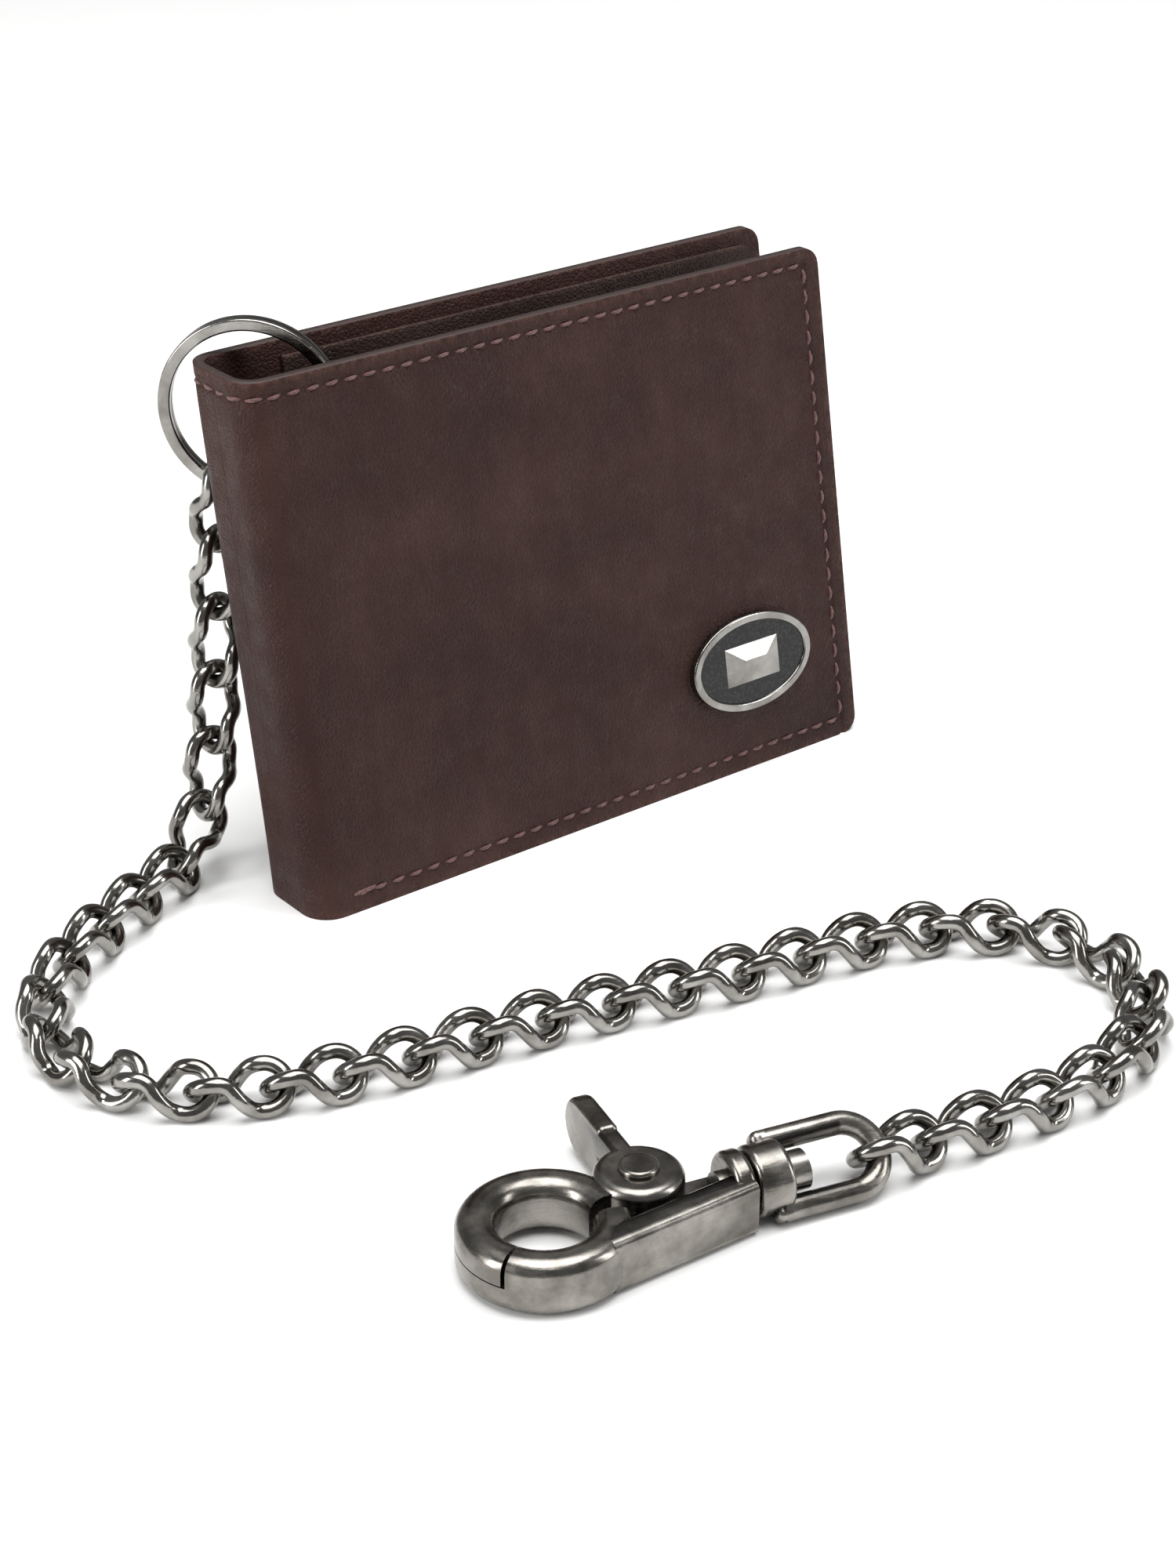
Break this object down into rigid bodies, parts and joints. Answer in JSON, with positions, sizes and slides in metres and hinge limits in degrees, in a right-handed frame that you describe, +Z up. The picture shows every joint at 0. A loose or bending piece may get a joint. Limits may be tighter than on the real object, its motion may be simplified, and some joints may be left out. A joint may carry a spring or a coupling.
{
  "type": "chain wallet",
  "caption": "Bifold leather wallet standing on edge, with a key ring, a curb chain laid on the table and a snap hook with a thumb lever.",
  "frame": {"origin": "on the table, in the middle of the foot of the wallet's spine", "axes": "+X along the front cover from the spine to the open edge, +Y from the front cover to the back cover, +Z up; the wallet leans towards +Y"},
  "size_m": [0.1764, 0.1569, 0.0935],
  "materials": {
    "leather": "smooth grain, lightly burnished",
    "lining": "smooth, matte",
    "pocket": "smooth, matte",
    "polished_steel": "polished",
    "antique_nickel": "antiqued, darker in the recesses",
    "spring_steel": "plain",
    "enamel": "dark, glossy"
  },
  "bodies": {
    "back_half": {"back_cover": "leather", "back_lining": "lining", "back_card_pocket_1": "pocket", "back_card_pocket_2": "pocket", "back_card_pocket_3": "pocket", "spine_leather": "leather", "spine_lining": "lining", "eyelet": "antique_nickel", "eyelet_washer": "antique_nickel"},
    "front_half": {"front_cover": "leather", "front_lining": "lining", "front_card_pocket_1": "pocket", "front_card_pocket_2": "pocket", "front_card_pocket_3": "pocket", "badge_plate": "polished_steel", "badge_enamel": "enamel", "badge_stud": "polished_steel", "badge_pins": "polished_steel"},
    "key_ring": {"split_ring": "polished_steel"},
    "link_01": {"chain_link_01": "polished_steel"},
    "link_02": {"chain_link_02": "polished_steel"},
    "link_03": {"chain_link_03": "polished_steel"},
    "link_04": {"chain_link_04": "polished_steel"},
    "link_05": {"chain_link_05": "polished_steel"},
    "link_06": {"chain_link_06": "polished_steel"},
    "link_07": {"chain_link_07": "polished_steel"},
    "link_08": {"chain_link_08": "polished_steel"},
    "link_09": {"chain_link_09": "polished_steel"},
    "link_10": {"chain_link_10": "polished_steel"},
    "link_11": {"chain_link_11": "polished_steel"},
    "link_12": {"chain_link_12": "polished_steel"},
    "link_13": {"chain_link_13": "polished_steel"},
    "link_14": {"chain_link_14": "polished_steel"},
    "link_15": {"chain_link_15": "polished_steel"},
    "link_16": {"chain_link_16": "polished_steel"},
    "link_17": {"chain_link_17": "polished_steel"},
    "link_18": {"chain_link_18": "polished_steel"},
    "link_19": {"chain_link_19": "polished_steel"},
    "link_20": {"chain_link_20": "polished_steel"},
    "link_21": {"chain_link_21": "polished_steel"},
    "link_22": {"chain_link_22": "polished_steel"},
    "link_23": {"chain_link_23": "polished_steel"},
    "link_24": {"chain_link_24": "polished_steel"},
    "link_25": {"chain_link_25": "polished_steel"},
    "link_26": {"chain_link_26": "polished_steel"},
    "link_27": {"chain_link_27": "polished_steel"},
    "link_28": {"chain_link_28": "polished_steel"},
    "link_29": {"chain_link_29": "polished_steel"},
    "link_30": {"chain_link_30": "polished_steel"},
    "link_31": {"chain_link_31": "polished_steel"},
    "link_32": {"chain_link_32": "polished_steel"},
    "link_33": {"chain_link_33": "polished_steel"},
    "link_34": {"chain_link_34": "polished_steel"},
    "link_35": {"chain_link_35": "polished_steel"},
    "bail": {"swivel_bail": "antique_nickel"},
    "snap": {"snap_body": "antique_nickel", "swivel_post": "antique_nickel", "pivot_rivet": "antique_nickel", "trigger_spring": "spring_steel"},
    "trigger": {"trigger": "antique_nickel"}
  },
  "joints": [
    {"name": "cover_fold", "type": "hinge", "parent": "back_half", "child": "front_half", "pos_m": [0.0057, -0.00785, 0], "axis": [0, -0.1736, -0.9848], "range_deg": [0, 105]},
    {"name": "key_ring_swing", "type": "hinge", "parent": "back_half", "child": "key_ring", "pos_m": [0.0095, 0.02012, 0.0645], "axis": [0, 0, 1], "range_deg": [-2, 3]},
    {"name": "clasp_trigger", "type": "hinge", "parent": "snap", "child": "trigger", "pos_m": [-0.01201, -0.10434, 0.0053], "axis": [0, 0, -1], "range_deg": [0, 22], "stiffness_Nm_per_rad": 0.05, "springref_deg": -17.19},
    {"name": "clasp_swivel", "type": "hinge", "parent": "bail", "child": "snap", "pos_m": [0.00643, -0.11306, 0.0053], "axis": [-0.9703, 0.2419, 0], "continuous": true},
    {"name": "bail_hinge", "type": "hinge", "parent": "link_35", "child": "bail", "pos_m": [0.02098, -0.11669, 0.0053], "axis": [0, 0, 1], "range_deg": [-4, 6]},
    {"name": "link_01_swing", "type": "hinge", "parent": "key_ring", "child": "link_01", "pos_m": [0.00441, 0.02424, 0.06603], "axis": [0, 0, 1], "range_deg": [-5, 5]},
    {"name": "link_02_swing", "type": "hinge", "parent": "link_01", "child": "link_02", "pos_m": [0.00347, 0.02381, 0.05621], "axis": [0, 0, -1], "range_deg": [-5, 5]},
    {"name": "link_03_swing", "type": "hinge", "parent": "link_02", "child": "link_03", "pos_m": [0.0022, 0.02321, 0.04475], "axis": [0, 0, 1], "range_deg": [-5, 5]},
    {"name": "link_04_swing", "type": "hinge", "parent": "link_03", "child": "link_04", "pos_m": [0.00074, 0.02253, 0.03332], "axis": [0, 0, -1], "range_deg": [-5, 5]},
    {"name": "link_05_swing", "type": "hinge", "parent": "link_04", "child": "link_05", "pos_m": [-0.00089, 0.02177, 0.02195], "axis": [0, 0, 1], "range_deg": [-5, 5]},
    {"name": "link_06_swing", "type": "hinge", "parent": "link_05", "child": "link_06", "pos_m": [-0.00372, 0.02046, 0.01107], "axis": [0, 0, -1], "range_deg": [-5, 5]},
    {"name": "link_07_swing", "type": "hinge", "parent": "link_06", "child": "link_07", "pos_m": [-0.01105, 0.01704, 0.00379], "axis": [0, 0, 1], "range_deg": [-6, 6]},
    {"name": "link_08_swing", "type": "hinge", "parent": "link_07", "child": "link_08", "pos_m": [-0.02091, 0.01244, 0.00379], "axis": [0, 0, -1], "range_deg": [-9, 9]},
    {"name": "link_09_swing", "type": "hinge", "parent": "link_08", "child": "link_09", "pos_m": [-0.0309, 0.00756, 0.00379], "axis": [0, 0, 1], "range_deg": [-9, 9]},
    {"name": "link_10_swing", "type": "hinge", "parent": "link_09", "child": "link_10", "pos_m": [-0.04048, 0.00204, 0.00379], "axis": [0, 0, -1], "range_deg": [-9, 9]},
    {"name": "link_11_swing", "type": "hinge", "parent": "link_10", "child": "link_11", "pos_m": [-0.04875, -0.00515, 0.00379], "axis": [0, 0, 1], "range_deg": [-9, 9]},
    {"name": "link_12_swing", "type": "hinge", "parent": "link_11", "child": "link_12", "pos_m": [-0.05419, -0.01457, 0.00379], "axis": [0, 0, -1], "range_deg": [-9, 9]},
    {"name": "link_13_swing", "type": "hinge", "parent": "link_12", "child": "link_13", "pos_m": [-0.05532, -0.02536, 0.00379], "axis": [0, 0, 1], "range_deg": [-9, 9]},
    {"name": "link_14_swing", "type": "hinge", "parent": "link_13", "child": "link_14", "pos_m": [-0.05179, -0.03561, 0.00379], "axis": [0, 0, -1], "range_deg": [-9, 9]},
    {"name": "link_15_swing", "type": "hinge", "parent": "link_14", "child": "link_15", "pos_m": [-0.0445, -0.04371, 0.00379], "axis": [0, 0, 1], "range_deg": [-9, 9]},
    {"name": "link_16_swing", "type": "hinge", "parent": "link_15", "child": "link_16", "pos_m": [-0.03501, -0.04919, 0.00379], "axis": [0, 0, -1], "range_deg": [-9, 9]},
    {"name": "link_17_swing", "type": "hinge", "parent": "link_16", "child": "link_17", "pos_m": [-0.02452, -0.05259, 0.00379], "axis": [0, 0, 1], "range_deg": [-9, 9]},
    {"name": "link_18_swing", "type": "hinge", "parent": "link_17", "child": "link_18", "pos_m": [-0.01363, -0.05471, 0.00379], "axis": [0, 0, -1], "range_deg": [-9, 9]},
    {"name": "link_19_swing", "type": "hinge", "parent": "link_18", "child": "link_19", "pos_m": [-0.00265, -0.05645, 0.00379], "axis": [0, 0, 1], "range_deg": [-9, 9]},
    {"name": "link_20_swing", "type": "hinge", "parent": "link_19", "child": "link_20", "pos_m": [0.00826, -0.05857, 0.00379], "axis": [0, 0, -1], "range_deg": [-9, 9]},
    {"name": "link_21_swing", "type": "hinge", "parent": "link_20", "child": "link_21", "pos_m": [0.01906, -0.06126, 0.00379], "axis": [0, 0, 1], "range_deg": [-9, 9]},
    {"name": "link_22_swing", "type": "hinge", "parent": "link_21", "child": "link_22", "pos_m": [0.02981, -0.06414, 0.00379], "axis": [0, 0, -1], "range_deg": [-9, 9]},
    {"name": "link_23_swing", "type": "hinge", "parent": "link_22", "child": "link_23", "pos_m": [0.04064, -0.06664, 0.00379], "axis": [0, 0, 1], "range_deg": [-9, 9]},
    {"name": "link_24_swing", "type": "hinge", "parent": "link_23", "child": "link_24", "pos_m": [0.05156, -0.06877, 0.00379], "axis": [0, 0, -1], "range_deg": [-9, 9]},
    {"name": "link_25_swing", "type": "hinge", "parent": "link_24", "child": "link_25", "pos_m": [0.06236, -0.07126, 0.00379], "axis": [0, 0, 1], "range_deg": [-9, 9]},
    {"name": "link_26_swing", "type": "hinge", "parent": "link_25", "child": "link_26", "pos_m": [0.07263, -0.0752, 0.00379], "axis": [0, 0, -1], "range_deg": [-9, 9]},
    {"name": "link_27_swing", "type": "hinge", "parent": "link_26", "child": "link_27", "pos_m": [0.08134, -0.08176, 0.00379], "axis": [0, 0, 1], "range_deg": [-9, 9]},
    {"name": "link_28_swing", "type": "hinge", "parent": "link_27", "child": "link_28", "pos_m": [0.08675, -0.09114, 0.00379], "axis": [0, 0, -1], "range_deg": [-9, 9]},
    {"name": "link_29_swing", "type": "hinge", "parent": "link_28", "child": "link_29", "pos_m": [0.08713, -0.10193, 0.00379], "axis": [0, 0, 1], "range_deg": [-9, 9]},
    {"name": "link_30_swing", "type": "hinge", "parent": "link_29", "child": "link_30", "pos_m": [0.08222, -0.11155, 0.00379], "axis": [0, 0, -1], "range_deg": [-9, 9]},
    {"name": "link_31_swing", "type": "hinge", "parent": "link_30", "child": "link_31", "pos_m": [0.07356, -0.11808, 0.00379], "axis": [0, 0, 1], "range_deg": [-9, 9]},
    {"name": "link_32_swing", "type": "hinge", "parent": "link_31", "child": "link_32", "pos_m": [0.06306, -0.12109, 0.00379], "axis": [0, 0, -1], "range_deg": [-9, 9]},
    {"name": "link_33_swing", "type": "hinge", "parent": "link_32", "child": "link_33", "pos_m": [0.05206, -0.12129, 0.00379], "axis": [0, 0, 1], "range_deg": [-9, 9]},
    {"name": "link_34_swing", "type": "hinge", "parent": "link_33", "child": "link_34", "pos_m": [0.04109, -0.11974, 0.00379], "axis": [0, 0, -1], "range_deg": [-9, 9]},
    {"name": "link_35_swing", "type": "hinge", "parent": "link_34", "child": "link_35", "pos_m": [0.03016, -0.11782, 0.00379], "axis": [0, 0, 1], "range_deg": [-9, 9]}
  ]
}
